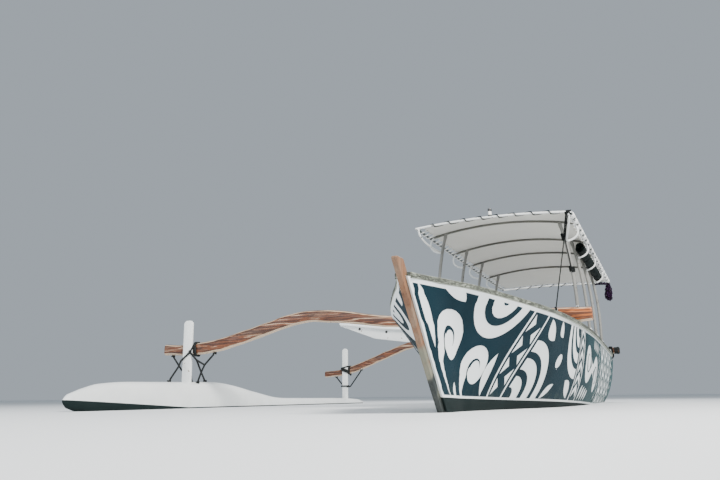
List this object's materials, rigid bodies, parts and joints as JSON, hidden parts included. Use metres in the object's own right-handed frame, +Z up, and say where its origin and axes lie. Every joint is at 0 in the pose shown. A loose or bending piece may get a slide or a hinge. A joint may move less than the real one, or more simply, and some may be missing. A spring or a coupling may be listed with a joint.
{
  "type": "outrigger canoe",
  "caption": "Planked motor canoe with an outrigger float on curved cross logs, a laced tube-framed canopy and a tilting tiller outboard.",
  "frame": {"origin": "on the waterline amidships, in the hull's middle plane", "axes": "+X to the bow, +Y to port, +Z up"},
  "size_m": [10.8903, 6.8349, 3.1566],
  "materials": {
    "hull_paint": "satin marine paint over planking, patterned",
    "bottom_paint": "dull black-green bottom paint",
    "weathered_wood": "grey-green weathered timber",
    "varnished_wood": "worn varnish",
    "log_wood": "red-brown varnished log",
    "deck_boards": "oiled boards",
    "white_paint": "white gloss paint on timber",
    "frame_tube": "white painted tube, worn",
    "canopy_cloth": "coated white cloth",
    "curtain_cloth": "dark mesh cloth",
    "flowers": "purple blossoms on a string",
    "lamp": "white lens with a black cap",
    "motor_shell": "dark gloss enamel",
    "motor_casting": "dark coated casting",
    "fitting_metal": "brushed fitting",
    "propeller_metal": "coated blades"
  },
  "bodies": {
    "hull": {"keel": "bottom_paint", "stem_post": "varnished_wood", "transom": "hull_paint", "foredeck": "deck_boards", "sole": "deck_boards", "helm_thwart": "deck_boards", "bow_bitt": "varnished_wood", "cross_log_front": "log_wood", "cross_log_rear": "log_wood", "log_knee_front": "white_paint", "log_knee_rear": "white_paint", "float_post_front": "white_paint", "float_post_rear": "white_paint", "float": "white_paint", "canopy_front_bow": "frame_tube", "canopy_rear_bow": "frame_tube", "canopy_cover": "canopy_cloth", "curtain_roll": "curtain_cloth", "garland": "flowers", "masthead_light": "lamp", "motor_clamp": "motor_casting", "bottom_planking_port_fore": "bottom_paint", "side_planking_port_fore": "hull_paint", "bottom_planking_port_middle": "bottom_paint", "side_planking_port_middle": "hull_paint", "bottom_planking_port_aft": "bottom_paint", "side_planking_port_aft": "hull_paint", "gunwale_port": "weathered_wood", "bench_port": "deck_boards", "stern_cleat_port": "fitting_metal", "canopy_rail_port": "frame_tube", "bottom_planking_starboard_fore": "bottom_paint", "side_planking_starboard_fore": "hull_paint", "bottom_planking_starboard_middle": "bottom_paint", "side_planking_starboard_middle": "hull_paint", "bottom_planking_starboard_aft": "bottom_paint", "side_planking_starboard_aft": "hull_paint", "gunwale_starboard": "weathered_wood", "bench_starboard": "deck_boards", "stern_cleat_starboard": "fitting_metal", "canopy_rail_starboard": "frame_tube", "frame_1": "deck_boards", "frame_2": "deck_boards", "frame_3": "deck_boards", "frame_4": "deck_boards", "frame_5": "deck_boards", "frame_6": "deck_boards", "canopy_hoop_1": "frame_tube", "canopy_hoop_2": "frame_tube", "canopy_hoop_3": "frame_tube", "canopy_hoop_4": "frame_tube"},
    "motor_tilting": {"motor_swivel": "motor_casting"},
    "motor": {"motor_cowling": "motor_shell", "motor_midsection": "motor_shell", "motor_lower_unit": "motor_casting", "motor_tiller": "motor_shell"},
    "propeller": {"propeller": "propeller_metal"}
  },
  "joints": [
    {"name": "motor_tilt", "type": "hinge", "parent": "hull", "child": "motor_tilting", "pos_m": [-4.6, 0, 0.4], "axis": [0, 1, 0], "range_deg": [0, 65]},
    {"name": "motor_steering", "type": "hinge", "parent": "motor_tilting", "child": "motor", "pos_m": [-4.69, 0, 0.25], "axis": [0, 0, 1], "range_deg": [-40, 40]},
    {"name": "propeller_spin", "type": "hinge", "parent": "motor", "child": "propeller", "pos_m": [-5.09, 0, -0.43], "axis": [1, 0, 0], "continuous": true}
  ]
}
